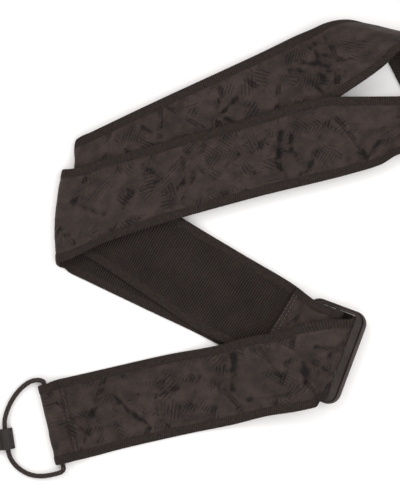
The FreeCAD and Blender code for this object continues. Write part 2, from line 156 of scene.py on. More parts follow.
def strap_path():
    """Lines across the strap in order, and where each named stretch begins and ends."""
    wrap_r = (7.2 - 2.6) / 2                  # from the height where the wrap begins to where it ends
    wrap = []
    for degrees in (60, 30, 0, -30, -60, -90):
        turn = math.radians(degrees)
        wrap.append(slider_pair(0.6 + wrap_r * math.cos(turn), BAR_Z + wrap_r * math.sin(turn), 27.6))
    sewn_end = [pair((60.7, -23.1), (34.5, -66.7), 5.8),
                slider_pair(-19.0, 7.9, 29.0, -25.0),
                slider_pair(-15.3, 8.4, 28.0, -25.5),
                slider_pair(-11.7, 8.9, 27.8),
                slider_pair(-4.0, 8.3, 27.8),
                slider_pair(0.6, 7.2, 27.4)]
    sewn_run = [slider_pair(-2.6, 2.6),
                slider_pair(-6.5, 4.7),
                slider_pair(-11.2, 6.9),
                slider_pair(-15.3, 6.3, 28.0, -25.5),
                slider_pair(-19.0, 5.6, 29.0, -25.0),
                pair((60.7, -23.1), (33.6, -68.4), 3.5),
                pair((26.5, -2.6), (-3.0, -49.0), 3.0),
                pair((-3.1, 15.1), (-31.0, -30.2), HALF_T + LAYER),
                pair((-40.0, 38.0), (-60.0, -10.8), HALF_T + LAYER),
                pair((-76.7, 62.0), (-79.4, 2.2), HALF_T + LAYER)]
    upper = [pair((-76.0, 69.7), (-80.0, 9.3), HALF_T + 2 * LAYER + SPARE),
             pair((-68.0, 73.5), (-66.0, 16.5), HALF_T + 2 * LAYER + SPARE),
             pair((-31.3, 91.0), (-10.0, 44.9), 5.0),
             pair((38.8, 123.4), (60.1, 77.3), 5.2),
             pair((61.3, 134.2), (88.0, 96.0), 5.6, 6.6),
             pair((70.6, 138.0), (114.5, 114.5), 7.2, 14.0),
             pair((76.5, 140.6), (123.5, 123.2), 7.9, 19.0)]
    turn = [pair((84.5, 142.6), (133.2, 128.6), 7.4, 18.6),
            pair((91.0, 142.9), (139.0, 130.6), 6.2, 15.2),
            pair((97.6, 141.5), (145.0, 130.9), 4.6, 11.4),
            pair((104.5, 137.5), (151.5, 128.6), 3.0, 7.6),
            pair((110.5, 131.0), (157.5, 124.2), 1.9, 4.4),
            pair((117.6, 117.6), (166.0, 113.0), HALF_T)]
    cross = [pair((124.5, 103.9), (169.5, 110.5), HALF_T),
             pair(RING_FOOT, RING_HEAD, HALF_T)]
    front = [pair(RING_FOOT, RING_HEAD, 2 * RING_BAR_Z - HALF_T),
             pair((133.0, 61.3), (152.0, 103.2), 6.4, 6.9),
             pair((124.5, 59.8), (139.0, 99.2), 6.6, 7.4),
             pair((112.6, 53.2), (122.0, 95.6), 6.8, 8.2),
             pair((93.8, 47.4), (88.0, 95.4), 7.1, 8.6),
             pair((31.3, 31.9), (21.9, 79.5), 7.1, 7.4),
             pair((-60.0, 4.4), (-56.0, 57.6), HALF_T + 3 * LAYER + SPARE),
             pair((-86.8, -7.4), (-82.6, 50.4), HALF_T + 3 * LAYER + SPARE)]
    lower = [pair((-86.0, -11.0), (-82.6, 50.0), HALF_T),
             pair((-81.3, -14.3), (-66.0, 38.0), HALF_T),
             pair((-72.0, -18.8), (-52.0, 28.6), HALF_T),
             pair((-37.5, -35.3), (-15.5, 10.4), HALF_T),
             pair((9.4, -57.9), (31.4, -12.1), HALF_T),
             slider_pair(-27.0, 1.8, -25.0, 26.0),
             slider_pair(-19.0, 3.5, -25.5, 26.0),
             slider_pair(-15.3, 4.1, -26.0, 26.0),
             slider_pair(-11.2, 4.8, -26.0, 26.0),
             slider_pair(-3.5, HALF_T, -26.2, 27.4),
             slider_pair(1.0, HALF_T, -26.2, 27.8)]
    slot = [slot_pair((7.4, -26.2, 1.1), (7.4, 27.8, 1.2)),
            slot_pair((10.4, -26.2, 2.6), (10.4, 27.8, 2.6)),
            slot_pair((11.2, -26.2, 4.6), (11.1, 27.6, 4.6)),
            slot_pair((11.2, -26.3, 6.6), (10.9, 26.6, 6.6)),
            slot_pair((10.8, -26.6, 8.0), (9.6, 25.4, 8.0))]
    tail = [slot_pair((10.2, -27.2, 8.9), (7.2, 24.3, 8.9)),
            slot_pair((8.9, -29.0, 9.6), (-1.8, 21.0, 9.8)),
            slot_pair((8.4, -31.4, 10.0), (-8.6, 17.5, 10.7)),
            pair((72.6, -97.2), (61.3, -46.3), 10.6, 10.8),
            pair((61.3, -100.1), (50.0, -50.7), 10.5, 10.5),
            pair((42.5, -103.2), (31.3, -53.8), 8.4, 8.9),
            pair((20.6, -109.0), (9.0, -59.9), 3.4, 5.0),
            pair((-7.5, -114.9), (-18.8, -65.1), HALF_T, 1.2),
            pair((-50.0, -124.6), (-60.0, -74.4), HALF_T),
            hem_pair(21.5, HALF_T, 1.8),
            hem_pair(17.0, 2.55, 1.9),
            hem_pair(12.0, 2.7, 1.9),
            hem_pair(8.0, 4.6, 1.6),
            hem_pair(HEM_AXIS_IN, HALF_T + 2 * HEM_R, 0.7)]
    flap = [hem_pair(HEM_AXIS_IN, HALF_T, 0.7), hem_pair(16.5, HALF_T, 1.8)]
    ring_out = np.array([RING_HEAD[1] - RING_FOOT[1], RING_FOOT[0] - RING_HEAD[0]])
    ring_out = ring_out / np.linalg.norm(ring_out)
    hem_out = (-HEM_IN[0], -HEM_IN[1])
    stretches = [("sewn_end", sewn_end), ("bar_wrap", wrap), ("sewn_run", sewn_run),
                 ("inner_fold", fold(sewn_run[-1], upper[0], (-1, 0), 0.9, 6)),
                 ("upper_run", upper), ("soft_turn", turn), ("cross_run", cross),
                 ("ring_fold", fold(cross[-1], front[0], ring_out, 2.7, 8)), ("front_run", front),
                 ("outer_fold", fold(front[-1], lower[0], (-1, 0), 2.4, 8)), ("lower_run", lower),
                 ("slider_fold", slot), ("tail_run", tail),
                 ("hem_fold", fold(tail[-1], flap[0], hem_out, HEM_R + 0.7, 8)), ("hem_flap", flap)]
    lines, spans = [], {}
    for name, part in stretches:
        spans[name] = (len(lines), len(lines) + len(part) - 1)
        lines += part
    return np.array(lines, float), spans


LINES, SPANS = strap_path()


def smooth_through(knots, values, where):
    """Curve through the values that never overshoots them."""
    h = np.diff(knots)[:, None]
    slope = np.diff(values, axis=0) / h
    tangent = np.zeros_like(values)
    w1, w2 = 2 * h[1:] + h[:-1], h[1:] + 2 * h[:-1]
    before, after = slope[:-1], slope[1:]
    same = before * after > 1e-12
    safe_b, safe_a = np.where(same, before, 1), np.where(same, after, 1)
    tangent[1:-1] = np.where(same, (w1 + w2) / (w1 / safe_b + w2 / safe_a), 0)
    tangent[0], tangent[-1] = slope[0], slope[-1]
    i = np.clip(np.searchsorted(knots, where, side="right") - 1, 0, len(knots) - 2)
    span = (knots[i + 1] - knots[i])[:, None]
    x = (where[:, None] - knots[i][:, None]) / span
    return (values[i] * (1 + 2 * x) * (1 - x) ** 2 + tangent[i] * span * x * (1 - x) ** 2
            + values[i + 1] * x * x * (3 - 2 * x) + tangent[i + 1] * span * x * x * (x - 1))


def arc_positions(lines):
    middle = (lines[:, :3] + lines[:, 3:]) / 2
    steps = np.linalg.norm(np.diff(middle, axis=0), axis=1)
    return np.concatenate([[0], np.cumsum(np.maximum(steps, 0.05))])


KNOTS = arc_positions(LINES)
STRAP_LENGTH = KNOTS[-1]


def unit(v):
    return v / np.maximum(np.linalg.norm(v, axis=-1, keepdims=True), 1e-9)


class Path:
    """The strap's smooth middle surface, sampled closely at folds and evenly elsewhere."""

    def __init__(self, step, turn_step):
        fine = np.arange(0, STRAP_LENGTH, 0.1)
        lines = smooth_through(KNOTS, LINES, fine)
        travel = unit(np.gradient((lines[:, :3] + lines[:, 3:]) / 2, axis=0))
        bend = np.arccos(np.clip((travel[1:] * travel[:-1]).sum(1), -1, 1))
        weight = np.concatenate([[0], np.cumsum(0.1 / step + np.minimum(bend, 0.3) / turn_step)])
        self.s = np.interp(np.linspace(0, weight[-1], int(weight[-1])), weight, fine)
        lines = smooth_through(KNOTS, LINES, self.s)
        self.first, self.second = lines[:, :3], lines[:, 3:]
        travel = np.gradient((self.first + self.second) / 2, self.s, axis=0)
        self.along = unit(self.second - self.first)
        self.normal = unit(np.cross(self.along, travel))
        for _ in range(2):
            self.normal[1:-1] = unit(self.normal[:-2] + 2 * self.normal[1:-1] + self.normal[2:])
        self.width = np.linalg.norm(self.second - self.first, axis=1)
        self.bow = 2.5 * stretch_mask(self.s, "outer_fold", soft=12.0)

    def at(self, across, lift):
        """Points at a share across the strap, lifted along the jacquard side's normal."""
        base = self.first[:, None] + (self.second - self.first)[:, None] * across[..., None]
        base[..., 0] -= self.bow[:, None] * 4 * across * (1 - across)
        return base + self.normal[:, None] * lift[..., None]


def lattice_noise(x, y, seed):
    """Smooth random heights from -1 to 1."""
    table = np.random.RandomState(seed).uniform(-1, 1, (64, 64))
    xi, yi = np.floor(x).astype(int), np.floor(y).astype(int)
    fx, fy = x - xi, y - yi
    fx, fy = fx * fx * (3 - 2 * fx), fy * fy * (3 - 2 * fy)
    rows = [table[(xi + a) % 64, (yi + b) % 64] for a, b in ((0, 0), (1, 0), (0, 1), (1, 1))]
    return (rows[0] * (1 - fx) + rows[1] * fx) * (1 - fy) + (rows[2] * (1 - fx) + rows[3] * fx) * fy


def stretch_mask(s, *names, soft=3.0):
    mask = np.zeros_like(s)
    for name in names:
        a, b = KNOTS[SPANS[name][0]], KNOTS[SPANS[name][1]]
        mask = np.maximum(mask, np.clip((s - a) / soft + 1, 0, 1) * np.clip((b - s) / soft + 1, 0, 1))
    return mask


# Creases, as lines seen from above in the layout, by stretch: start, end, width, depth. Each one also
# gets painted shade along its groove.
CREASE_WIDTH = 0.62                           # the share of a listed width that its groove takes
CREASES = {
    "front_run": [
        ((50.5, 73.0), (48.0, 56.0), 2.2, 0.9), ((48.0, 56.0), (54.0, 42.0), 2.6, 1.0),
        ((57.0, 71.0), (56.0, 61.0), 1.5, 0.7), ((62.0, 58.0), (46.0, 64.0), 1.3, 0.6),
        ((68.0, 50.0), (60.0, 44.0), 1.6, 0.6), ((72.0, 60.0), (64.0, 40.0), 2.4, 0.5),
        ((-12.0, 58.0), (-9.0, 46.0), 1.7, 0.7), ((-9.0, 46.0), (-14.0, 36.0), 1.8, 0.7),
        ((-32.0, 50.0), (-24.0, 44.0), 1.5, 0.5), ((-24.0, 44.0), (-36.0, 38.0), 1.5, 0.4),
        ((24.0, 60.0), (16.0, 52.0), 1.6, 0.5), ((-80.0, 30.0), (-60.0, 22.0), 2.4, 0.4)],
    "upper_run": [
        ((22.0, 94.0), (12.0, 84.0), 2.0, 0.8), ((12.0, 84.0), (24.0, 78.0), 1.5, 0.6),
        ((72.0, 128.0), (76.0, 104.0), 3.0, 0.7), ((60.0, 118.0), (80.0, 114.0), 1.5, 0.6),
        ((56.0, 112.0), (90.0, 111.0), 1.3, 0.5), ((68.0, 106.0), (84.0, 92.0), 2.0, 0.5),
        ((60.0, 92.0), (66.0, 84.0), 2.0, 0.7), ((-36.0, 76.0), (-24.0, 70.0), 1.6, 0.4),
        ((-10.0, 70.0), (6.0, 66.0), 1.4, 0.4)],
    "soft_turn": [
        ((88.0, 120.0), (118.0, 124.0), 1.4, 0.5)],
    "tail_run": [
        ((-55.0, -90.0), (-44.0, -101.0), 2.0, 0.9), ((-44.0, -101.0), (-31.0, -111.0), 1.6, 0.7),
        ((21.0, -64.0), (20.0, -86.0), 2.6, 0.6), ((64.0, -70.0), (66.0, -82.0), 2.8, 0.9),
        ((30.0, -93.0), (56.0, -90.0), 1.8, 0.5), ((38.0, -62.0), (50.0, -78.0), 2.0, 0.5),
        ((80.0, -66.0), (90.0, -56.0), 2.0, 1.0), ((84.0, -78.0), (68.0, -68.0), 1.8, 0.7),
        ((82.0, -84.0), (70.0, -92.0), 1.8, 0.7), ((88.0, -62.0), (72.0, -60.0), 1.6, 0.5),
        ((0.0, -78.0), (-6.0, -96.0), 1.8, 0.4), ((-14.0, -86.0), (-28.0, -92.0), 1.5, 0.4),
        ((-62.0, -96.0), (-70.0, -104.0), 1.5, 0.4)]}


def cloth_relief(path, points, across, seed):
    """Heights of the jacquard's puckers and creases, and from 0 to 1 the painted shade in the creases."""
    s = np.repeat(path.s[:, None], across.shape[1], 1)
    t = across * path.width[:, None]
    rise = 0.34 * lattice_noise(s / 17, t / 13, seed)
    rise += 0.24 * lattice_noise(s / 7 + t / 19, t / 8, seed + 1)
    rise += 0.10 * lattice_noise(s / 3.1 - t / 7, t / 3.4 + s / 9, seed + 2)
    edge = np.minimum(t, path.width[:, None] - t) - OVERLOCK_REACH
    gather = np.sin(s * 2 * np.pi / 8.5 + 2.2 * lattice_noise(s / 23, t * 0, seed + 3))
    rise += 0.22 * gather * np.exp(-np.abs(edge - 3) / 4)
    dark = np.zeros_like(rise)
    warp = 2.6 * lattice_noise(s / 4, t / 4, seed + 4)
    broken = np.clip(0.62 + 0.75 * lattice_noise(s / 2.6, t / 2.6, seed + 5), 0, 1)
    for name, creases in CREASES.items():
        mask = stretch_mask(s, name)
        for a, b, width, depth in creases:
            start, run = np.array(a), np.array(b) - np.array(a)
            flat = points[..., :2] - start
            share = np.clip((flat @ run) / (run @ run), 0, 1)
            away = np.linalg.norm(flat - share[..., None] * run, axis=-1) + warp * 0.5
            width = width * CREASE_WIDTH
            groove = np.exp(-(away / width) ** 2) * mask
            shoulder = np.exp(-((away - 2 * width) / width) ** 2) * mask
            rise += depth * (0.6 * shoulder - groove)
            # Painted shade along each crease's groove, broken up by noise.
            dark = np.maximum(dark, groove * min(1.0, depth + 0.2) * broken)
    fade = np.clip(edge / 4.0, 0, 1)
    return rise * fade, dark * np.clip(edge / 2.0 + 0.3, 0, 1)


FLOOR_GAP = 0.00002


def grid_mesh(name, points, uv, flip=False, extra=None):
    """Quad mesh from a rows-by-columns grid of layout points, with its flat coordinates in metres as UVs.

    extra is a number for each point, kept as a point attribute that the materials read to paint light
    and shade: painted shade by how deep in a crease the cloth is, painted shade in the slider's groove
    and a painted highlight on its rim, or how high a strand of the cord stands, with painted shade
    between the strands.
    """
    rows, columns = points.shape[:2]
    points = (points + SHIFT) * MM
    points[..., 2] = np.maximum(points[..., 2], FLOOR_GAP)
    i, j = np.meshgrid(np.arange(rows - 1), np.arange(columns - 1), indexing="ij")
    a = (i * columns + j).ravel()
    quads = np.stack([a, a + columns, a + columns + 1, a + 1], 1)
    if flip:
        quads = quads[:, ::-1]
    mesh = bpy.data.meshes.new(name)
    mesh.vertices.add(rows * columns)
    mesh.vertices.foreach_set("co", points.reshape(-1).astype(np.float32))
    mesh.loops.add(quads.size)
    mesh.loops.foreach_set("vertex_index", quads.ravel().astype(np.int32))
    mesh.polygons.add(len(quads))
    mesh.polygons.foreach_set("loop_start", np.arange(0, quads.size, 4, dtype=np.int32))
    mesh.update()
    layer = mesh.uv_layers.new(name="cloth")
    layer.data.foreach_set("uv", uv.reshape(-1, 2)[quads.ravel()].ravel().astype(np.float32))
    if extra is not None:
        attribute = mesh.attributes.new("painted_shading", "FLOAT", "POINT")
        attribute.data.foreach_set("value", extra.ravel().astype(np.float32))
    mesh.polygons.foreach_set("use_smooth", np.ones(len(quads), bool))
    mesh.update()
    piece = bpy.data.objects.new(name, mesh)
    bpy.context.collection.objects.link(piece)
    return piece


def flat_uv(path, across):
    s = np.repeat(path.s[:, None], across.shape[1], 1)
    return np.stack([s, across * STRAP_W], -1) * MM


def nodes_named(start):
    return [name for name in frame["nodes"] if name.startswith(start)]


# ---- materials ----
class Value:
    """A shader value that arithmetic can be done on."""

    def __init__(self, tree, socket):
        self.tree, self.socket = tree, socket

    def math(self, operation, *others):
        node = self.tree.nodes.new("ShaderNodeMath")
        node.operation = operation
        for slot_in, item in zip(node.inputs, (self, *others)):
            if isinstance(item, Value):
                self.tree.links.new(item.socket, slot_in)
            else:
                slot_in.default_value = item
        return Value(self.tree, node.outputs[0])

    def __add__(self, other):
        return self.math("ADD", other)

    def __sub__(self, other):
        return self.math("SUBTRACT", other)

    def __mul__(self, other):
        return self.math("MULTIPLY", other)

    def __truediv__(self, other):
        return self.math("DIVIDE", other)

    def sine(self):
        return self.math("SINE")

    def zigzag(self, period):
        """Triangle wave from 0 to 1."""
        return ((self / period).math("FRACT") - 0.5).math("ABSOLUTE") * 2.0

    def step(self, low, high):
        node = self.tree.nodes.new("ShaderNodeMapRange")
        node.interpolation_type = "SMOOTHSTEP"
        self.tree.links.new(self.socket, node.inputs["Value"])
        node.inputs["From Min"].default_value = low
        node.inputs["From Max"].default_value = high
        return Value(self.tree, node.outputs["Result"])


class Look:
    """A material being built: its tree, its shader and a few ways to feed them."""

    def __init__(self, name, roughness, specular, sheen=0.0, sheen_roughness=0.4):
        self.material = bpy.data.materials.new(name)
        self.material.use_nodes = True
        self.tree = self.material.node_tree
        self.shader = self.tree.nodes["Principled BSDF"]
        self.shader.inputs["Roughness"].default_value = roughness
        self.shader.inputs["Specular IOR Level"].default_value = specular
        self.shader.inputs["Sheen Weight"].default_value = sheen
        self.shader.inputs["Sheen Roughness"].default_value = sheen_roughness

    def flat_mm(self):
        uv = self.tree.nodes.new("ShaderNodeUVMap")
        uv.uv_map = "cloth"
        split = self.tree.nodes.new("ShaderNodeSeparateXYZ")
        self.tree.links.new(uv.outputs[0], split.inputs[0])
        return Value(self.tree, split.outputs[0]) * 1000.0, Value(self.tree, split.outputs[1]) * 1000.0

    def place(self, scale=(1, 1, 1)):
        coordinates = self.tree.nodes.new("ShaderNodeTexCoord")
        mapping = self.tree.nodes.new("ShaderNodeMapping")
        mapping.inputs["Scale"].default_value = scale
        self.tree.links.new(coordinates.outputs["Object"], mapping.inputs[0])
        return mapping.outputs[0]

    def joined(self, x, y, z=0.0):
        node = self.tree.nodes.new("ShaderNodeCombineXYZ")
        for slot_in, item in zip(node.inputs, (x, y, z)):
            if isinstance(item, Value):
                self.tree.links.new(item.socket, slot_in)
            else:
                slot_in.default_value = item
        return node.outputs[0]

    def noise(self, vector, scale, detail=3.0):
        node = self.tree.nodes.new("ShaderNodeTexNoise")
        node.inputs["Scale"].default_value = scale
        node.inputs["Detail"].default_value = detail
        self.tree.links.new(vector, node.inputs["Vector"])
        return Value(self.tree, node.outputs[0])

    def cells(self, vector, scale, output="Color", distance="EUCLIDEAN"):
        """One of a cell texture's outputs, or the three parts of each cell's random colour."""
        node = self.tree.nodes.new("ShaderNodeTexVoronoi")
        node.distance = distance
        node.inputs["Scale"].default_value = scale
        self.tree.links.new(vector, node.inputs["Vector"])
        if output != "Color":
            return Value(self.tree, node.outputs[output])
        split = self.tree.nodes.new("ShaderNodeSeparateColor")
        self.tree.links.new(node.outputs["Color"], split.inputs[0])
        return [Value(self.tree, split.outputs[k]) for k in range(3)]

    def attribute(self, name):
        node = self.tree.nodes.new("ShaderNodeAttribute")
        node.attribute_name = name
        return Value(self.tree, node.outputs["Fac"])

    def colour(self, amount, dark, light):
        ramp = self.tree.nodes.new("ShaderNodeValToRGB")
        ramp.color_ramp.elements[0].color = (*dark, 1)
        ramp.color_ramp.elements[1].color = (*light, 1)
        self.tree.links.new(amount.socket, ramp.inputs[0])
        self.tree.links.new(ramp.outputs[0], self.shader.inputs["Base Color"])

    def rough(self, amount):
        self.tree.links.new(amount.socket, self.shader.inputs["Roughness"])

    def bump(self, height, depth_mm, strength=1.0):
        node = self.tree.nodes.new("ShaderNodeBump")
        node.inputs["Strength"].default_value = strength
        node.inputs["Distance"].default_value = depth_mm * MM
        self.tree.links.new(height.socket, node.inputs["Height"])
        self.tree.links.new(node.outputs[0], self.shader.inputs["Normal"])


def stripes(value, pitch):
    return (value * (2 * math.pi / pitch)).sine()


def jacquard_look():
    """Satin cloth: mottled nap, and clusters of parallel lines in several directions."""
    look = Look("jacquard_cloth", 0.6, 0.2, 0.05, 0.4)
    u, v = look.flat_mm()
    flat = look.joined(u, v)
    wander = look.noise(flat, 0.06, 2.0) * 8.0
    turned, chance, _ = look.cells(look.joined(u + wander, v * 1.2 + wander), 0.07, distance="MANHATTAN")
    angle = (turned * 5.0).math("FLOOR") * 0.62 - 0.9
    across = u * angle.math("COSINE") + v * angle.sine() + look.noise(flat, 0.2, 1.0) * 1.6
    hatch = stripes(across, 2.25).step(0.15, 0.95) * chance.step(0.42, 0.5)
    chevron_u = u + v.zigzag(17.0) * 8.5
    band = ((u + look.noise(flat, 0.03, 0.0) * 20.0).zigzag(58.0)).step(0.62, 0.72)
    chevron = stripes(chevron_u, 2.6).step(0.0, 0.9) * band
    outline = ((u + v * 0.55).zigzag(41.0) * 20.5 - 1.0).math("ABSOLUTE")
    outline_b = ((u - v * 0.62).zigzag(47.0) * 23.5 - 1.0).math("ABSOLUTE")
    lines = (outline.math("MINIMUM", outline_b)).step(1.1, 0.2)
    patches = look.noise(look.joined(u + 200.0, v * 1.3), 0.08, 3.0)
    cover = patches.step(0.47, 0.60)
    motif = (hatch * (band * -1.0 + 1.0) + chevron).math("MINIMUM", 1.0) * cover
    weave = stripes(u, 0.72) * stripes(v, 0.72)
    painted_shading = look.attribute("painted_shading")
    mottle = look.noise(look.joined(u, v * 1.1, 7.0), 0.13, 5.0)
    blot = look.noise(look.joined(u, v, 31.0), 0.055, 4.0).step(0.40, 0.60)
    fine = look.noise(look.joined(u * 0.45 + v * 0.2, v * 1.5 - u * 0.3), 1.3, 3.0)
    amount = (mottle.step(0.22, 0.72) * 0.42 + fine * 0.62 + blot * 0.12
              - motif * 0.26 - lines * cover * 0.30 - 0.14)
    # Painted shade in the creases, read from the cloth's points.
    amount = amount - painted_shading * 0.8
    look.colour(amount, (0.0024, 0.0008, 0.0006), (0.0600, 0.0390, 0.0330))
    look.rough(mottle * 0.3 + 0.42)
    height = motif * -1.8 + weave * 0.16 + fine * 0.9 - lines * cover * 1.8 + mottle * 1.5
    look.bump(height, 0.5)
    return look.material


def webbing_look():
    look = Look("ribbed_webbing", 0.8, 0.16, 0.03)
    u, v = look.flat_mm()
    drift = look.noise(look.joined(u, v), 0.35, 3.0)
    rib = stripes(u + drift * 0.5, 1.5)
    cross = stripes(v + drift * 0.6, 0.9)
    mottle = look.noise(look.joined(u, v, 3.0), 0.07, 4.0)
    amount = rib * 0.30 + cross * rib * 0.14 + mottle * 0.55 + drift * 0.25
    look.colour(amount, (0.0060, 0.0036, 0.0030), (0.0500, 0.0350, 0.0300))
    look.bump(rib + cross * 0.5, 0.42, 1.0)
    return look.material


def overlock_look():
    look = Look("overlock_thread", 0.78, 0.16, 0.03)
    u, v = look.flat_mm()
    drift = look.noise(look.joined(u, v), 0.5, 3.0)
    thread = stripes(u + v * 0.18 + drift * 0.35, 1.2)
    ply = stripes(u * 0.8 + v * 2.4, 1.0)
    amount = thread * 0.16 + ply * 0.06 + drift * 0.7
    look.colour(amount, (0.0050, 0.0030, 0.0025), (0.0500, 0.0360, 0.0310))
    look.bump(thread + ply * 0.3, 0.2, 0.7)
    return look.material


def thread_look(name, shade):
    look = Look(name, 0.5, 0.35)
    twist = look.noise(look.place(), 900.0, 2.0)
    dark, light = [[c * shade for c in tone] for tone in ((0.030, 0.023, 0.020), (0.110, 0.088, 0.080))]
    look.colour(twist, dark, light)
    look.bump(twist, 0.1, 0.5)
    return look.material


def moulded_look():
    look = Look("satin_moulding", 0.45, 0.2)
    grain = look.noise(look.place(), 620.0, 4.0)
    cloud = look.noise(look.place((1, 1, 0.3)), 95.0, 3.0)
    # Painted shade in the slider's groove and a painted highlight on its rim, read from the points.
    amount = cloud * 0.5 + grain * 0.3 - look.attribute("painted_shading") * 0.6
    look.colour(amount, (0.003, 0.0016, 0.0012), (0.066, 0.050, 0.046))
    look.rough(cloud * 0.25 + 0.36)
    look.bump(grain * 0.7 + cloud, 0.12, 0.5)
    return look.material


def leather_look():
    look = Look("black_leather", 0.5, 0.24)
    pores = look.cells(look.place(), 1100.0, output="Distance")
    wear = look.noise(look.place(), 70.0, 4.0)
    look.colour(wear * 0.8 + pores * 0.2, (0.0075, 0.0058, 0.0052), (0.040, 0.033, 0.030))
    look.rough(wear * 0.35 + 0.35)
    look.bump(pores + wear * 0.6, 0.18, 0.6)
    return look.material


def braid_look():
    look = Look("braided_cord", 0.7, 0.12)
    u, v = look.flat_mm()
    fine = look.noise(look.joined(u, v), 1.2, 3.0)
    strand = look.attribute("painted_shading")
    fibre = stripes(u * 2.0 + v * 1.1, 0.7)
    # Strands painted lighter and the hollows between them painted darker: painted shade from the strands'
    # height.
    amount = strand.step(0.55, 1.0) * 0.9 + fine * 0.1 + fibre * 0.05
    look.colour(amount, (0.0010, 0.0006, 0.0005), (0.110, 0.085, 0.078))
    look.bump(fibre * 0.4 + fine, 0.08, 0.6)
    return look.material


LOOKS = {"jacquard": jacquard_look(), "webbing": webbing_look(), "overlock": overlock_look(),
         "thread": thread_look("pale_thread", 1.0), "slider": moulded_look(), "ring": moulded_look(),
         "leather": leather_look(), "cord": braid_look()}
DARK_THREAD = thread_look("dark_thread", 0.08)


def finish_piece(piece, slot_name, body, *replaced):
    piece.data.materials.clear()
    piece.data.materials.append(LOOKS[slot_name])
    if replaced:
        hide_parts(*replaced)
    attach(piece, body)
    return piece


# ---- the strap's pieces ----
CLOTH_EDGES = (0.7, 50.1)                     # the overlock covers the rest of the width
CLOTH_COLUMNS = 53
CLOTH_STEP, CLOTH_TURN = 0.95, 0.16           # rows: along the strap in millimetres, and in radians of bend
FACE_LIFT = HALF_T + 0.02
DEEPEST = -0.45


def make_cloth():
    path = Path(CLOTH_STEP, CLOTH_TURN)
    across = np.repeat(np.linspace(*CLOTH_EDGES, CLOTH_COLUMNS)[None] / STRAP_W, len(path.s), 0)
    middle = path.at(across, np.zeros_like(across))
    # The second value is painted shade in the creases; it goes on the jacquard's points.
    rise, dark = cloth_relief(path, middle, across, 11)
    face = grid_mesh("strap_jacquard", path.at(across, FACE_LIFT + np.maximum(rise, DEEPEST)),
                     flat_uv(path, across), flip=True, extra=dark)
    quiet = 0.05 * lattice_noise(across * 9, np.repeat(path.s[:, None], across.shape[1], 1) / 11, 5)
    back = grid_mesh("strap_webbing", path.at(across, quiet - FACE_LIFT), flat_uv(path, across))
    return face, back


# The overlock's section: millimetres in from the edge, and height on either side of the strap's middle
OVERLOCK_SECTION = [(5.7, 0.70), (5.4, 0.98), (4.4, 1.08), (3.0, 1.10), (1.6, 1.08), (0.6, 0.96),
                    (0.2, 0.62), (0.05, 0.0), (0.2, -0.62), (0.6, -0.96), (1.6, -1.08), (3.0, -1.10),
                    (4.4, -1.08), (5.4, -0.98), (5.7, -0.70)]
THREAD_PITCH = 1.2


def make_overlock(name, from_first):
    path = Path(0.36, 0.2)
    section = np.array(OVERLOCK_SECTION)
    inset = np.repeat(section[None, :, 0], len(path.s), 0)
    lift = np.repeat(section[None, :, 1], len(path.s), 0)
    s = np.repeat(path.s[:, None], len(section), 1)
    slant = 0.18 * inset * np.sign(lift)
    ridge = np.abs(np.sin((s + slant) * np.pi / THREAD_PITCH))
    uneven = 0.10 * lattice_noise(s / 2.3, inset / 3, 21 if from_first else 22)
    lift = lift * (0.93 + 0.13 * ridge + 0.5 * uneven)
    bulge = 0.16 * ridge * np.sign(inset - 2.5)
    waver = 0.25 * lattice_noise(s / 6, inset * 0, 31) * (inset > 5)
    inset = inset + bulge + waver
    across = inset / path.width[:, None]
    points = path.at(across if from_first else 1 - across, lift)
    return grid_mesh(name, points, np.stack([s, inset], -1) * MM, flip=not from_first)


jacquard, webbing = make_cloth()
first_edge = make_overlock("overlock_first", True)
second_edge = make_overlock("overlock_second", False)
finish_piece(jacquard, "jacquard", "strap", *nodes_named("jacquard_"))
finish_piece(webbing, "webbing", "strap", *nodes_named("webbing_"))
finish_piece(first_edge, "overlock", "strap", "overlock_first_edge")
finish_piece(second_edge, "overlock", "strap", "overlock_second_edge")


# ---- stitches: small rounded threads that lie on the cloth ----
# Rings along a stitch: share of its length, share of its radius, and rise in millimetres
STITCH_RINGS = [(0.0, 0.35, -0.16), (0.12, 0.85, 0.02), (0.5, 1.0, 0.14), (0.88, 0.85, 0.02), (1.0, 0.35, -0.16)]
STITCH_SIDES = 8


def stitch_mesh(name, stitches, radius=0.26):
    """One mesh of capsules; each stitch is (start, end) in the layout's millimetres."""
    points, faces = [], []
    rings, sides = STITCH_RINGS, STITCH_SIDES
    for start, end in stitches:
        start, end = np.array(start), np.array(end)
        run = end - start
        side = unit(np.cross([0, 0, 1.0], run))
        up = np.array([0, 0, 1.0])
        base = len(points)
        for share, size, rise in rings:
            centre = start + run * share + up * rise
            for k in range(sides):
                turn = 2 * math.pi * k / sides
                points.append(centre + radius * size * (side * math.cos(turn) + up * math.sin(turn)))
        for r in range(len(rings) - 1):
            for k in range(sides):
                n = (k + 1) % sides
                faces.append((base + r * sides + k, base + r * sides + n,
                              base + (r + 1) * sides + n, base + (r + 1) * sides + k))
        faces.append(tuple(base + k for k in reversed(range(sides))))
        faces.append(tuple(base + (len(rings) - 1) * sides + k for k in range(sides)))
    mesh = bpy.data.meshes.new(name)
    mesh.from_pydata([tuple((p + SHIFT) * MM) for p in points], [], faces)
    for polygon in mesh.polygons:
        polygon.use_smooth = True
    piece = bpy.data.objects.new(name, mesh)
    bpy.context.collection.objects.link(piece)
    return piece


def sewn_row(start, end, pitch, seed, share=0.68):
    """Stitches between two points, slightly uneven."""
    start, end = np.array(start, float), np.array(end, float)
    draw = np.random.RandomState(seed)
    count = int(np.linalg.norm(end - start) / pitch)
    side = unit(np.cross([0, 0, 1.0], end - start))
    result = []
    for i in range(count):
        a = start + (end - start) * ((i + 0.5 - share / 2) / count) + side * draw.uniform(-0.14, 0.14)
        b = start + (end - start) * ((i + 0.5 + share / 2) / count) + side * draw.uniform(-0.14, 0.14)
        result.append((a, b))
    return result


